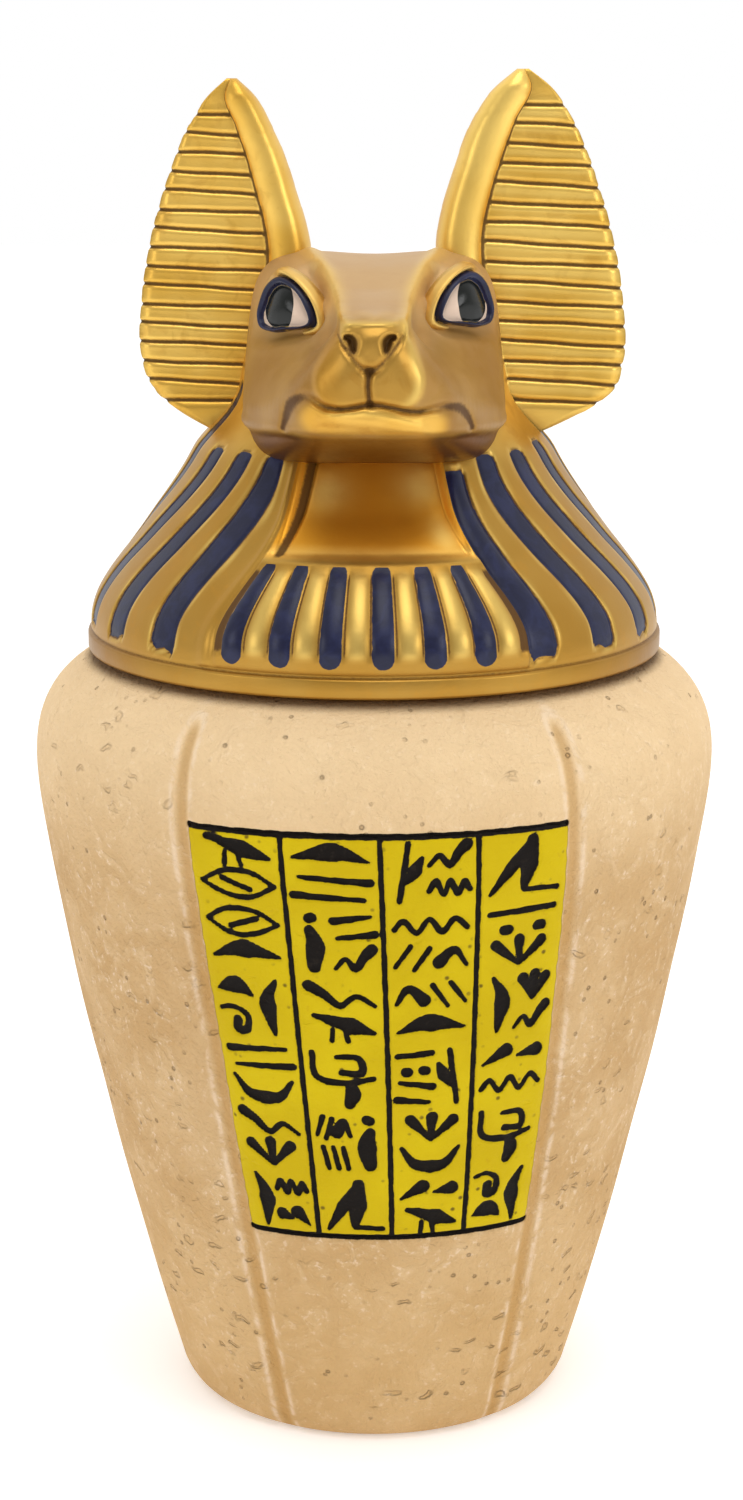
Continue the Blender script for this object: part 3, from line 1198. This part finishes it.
# ---- Lid: one casting ------------------------------------------------------------------------------
# The head, ears and wig come out of the mould as one piece, which rests by its rim on the jar's seat.
# Gold paint over dark, rubbed back on the high places; the stripes and lids in a satin dark blue.

lid_parts = [in_scene("lid_part", mesh) for mesh in (wig_mesh, head_mesh, *ear_meshes, *eye_meshes)]
with bpy.context.temp_override(active_object=lid_parts[0], selected_editable_objects=lid_parts):
    bpy.ops.object.join()
lid = lid_parts[0]
lid.name = "jackal_head_lid_gold"
lid.data.name = "jackal_head_lid_gold"

gilt, gilt_shader, begin = new_finish("gold_paint", {"IOR": 1.5, "Specular IOR Level": 0.35})
blue_edge = begin.kept("blue_room") + (begin.grain(1.4, 2) - 0.5) * 0.4
blued = blue_edge.band(-0.05, 0.05)
white = begin.kept("eye_room").band(0.3, 0.36) * (1 - blued)
iris = begin.kept("iris_room").band(-0.03, 0.03)
glazed = begin.kept("glaze")
brush = begin.grain(3.2, 3, 0.6, 0.6)
leaf = begin.grain(0.45, 2)
tone = begin.grain(11, 2)
line = (begin.kept("wash") + (leaf - 0.5) * 0.3).band(0.3, 0.75)
rubbed = begin.kept("rub") * (brush * 0.5 + 0.6)

height_up = begin.place().part(2)
gold = begin.coats(
    colour(222, 174, 72),
    (tone.band(0.35, 0.65), (238, 196, 98)),
    (height_up.band(0.138, 0.13) * 0.8, (160, 116, 44)),
    (brush.band(0.52, 0.7) * 0.35, (190, 138, 50)),
)
smoky = begin.coats(
    colour(136, 92, 33),
    (tone.band(0.3, 0.7), (152, 109, 49)),
    (height_up.band(0.145, 0.153) * 0.8, (198, 162, 118)),
    (brush.band(0.3, 0.75) * 0.12, (206, 172, 132)),
)
gold = begin.coats(
    begin.blend(glazed * 0.85, gold, smoky),
    (begin.kept("amber") * 0.9, (238, 162, 34)),
    (begin.kept("shade") * 0.92, (98, 50, 2)),
    (rubbed * 0.75, (255, 224, 128)),
    (line * 0.88, (74, 42, 6)),
)
navy = begin.coats(colour(17, 20, 50), (brush.band(0.4, 0.7), (28, 33, 68)))
eye_colour = begin.coats(colour(226, 200, 178), (iris, (15, 18, 14)))
plain_paint = (blued + white).band(0.0, 1.0)
feed(gilt_shader, "Base Color", begin.blend(white, begin.blend(blued, gold, navy), eye_colour))
feed(gilt_shader, "Metallic", (0.82 - glazed * 0.4 - line * 0.5) * (1 - plain_paint))
satin = 0.4 + (brush - 0.5) * 0.15 + glazed * 0.07 + line * 0.2 - iris * 0.18 - blued * 0.04
feed(gilt_shader, "Roughness", satin)
raise_grain(gilt_shader, brush * 0.4 + leaf * 0.25, 0.1, 0.5)

finish_mesh(lid.data, gilt)
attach(lid, "root")
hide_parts("jackal_head_lid")


# ---- Floor and light -------------------------------------------------------------------------------
# A pale floor, and soft white light from all round, brightest from above and behind. Three lamps stand
# round the jar: one over it and one in front on each side.

WHITE = (1, 1, 1, 1)
JAR_MIDDLE = Vector((0, 0, 0.1))

floor_shape = bmesh.new()
bmesh.ops.create_grid(floor_shape, x_segments=2, y_segments=2, size=3)
floor_mesh = mesh_from(floor_shape, "floor")
paper, paper_shader, begin = new_finish("white_paper", {
    "Roughness": 0.9, "Emission Color": WHITE, "Emission Strength": 0.3,
})
paper_tone = begin.blend(begin.grain(900, 1), (0.93, 0.93, 0.93, 1), (0.95, 0.95, 0.95, 1))
feed(paper_shader, "Base Color", paper_tone)
floor_mesh.materials.append(paper)
floor = in_scene("floor", floor_mesh)

bpy.context.scene.view_settings.view_transform = "Standard"
sky = bpy.data.worlds.new("soft_white")
sky.use_nodes = True
bpy.context.scene.world = sky
background = sky.node_tree.nodes["Background"]
towards = Signal(sky.node_tree).add("ShaderNodeTexCoord", output="Generated")
glow = 0.4 + towards.part(1).band(-0.4, 0.3) * 0.6 + towards.part(2).band(0.3, 1.0) * 0.2
feed(background, "Strength", glow)
background.inputs["Color"].default_value = WHITE


def softbox(name, place, size, power):
    """A round lamp, turned to the middle of the jar."""
    lamp = bpy.data.lights.new(name, "AREA")
    lamp.shape = "DISK"
    lamp.size = size
    lamp.energy = power
    holder = in_scene(name, lamp)
    holder.location = place
    holder.rotation_euler = (JAR_MIDDLE - Vector(place)).to_track_quat("-Z", "Y").to_euler()


softbox("top_light", (0.05, -0.3, 0.8), 0.5, 1.7)
softbox("left_light", (-0.75, -0.55, 0.4), 0.4, 1.1)
softbox("right_light", (0.75, -0.55, 0.45), 0.4, 1.7)
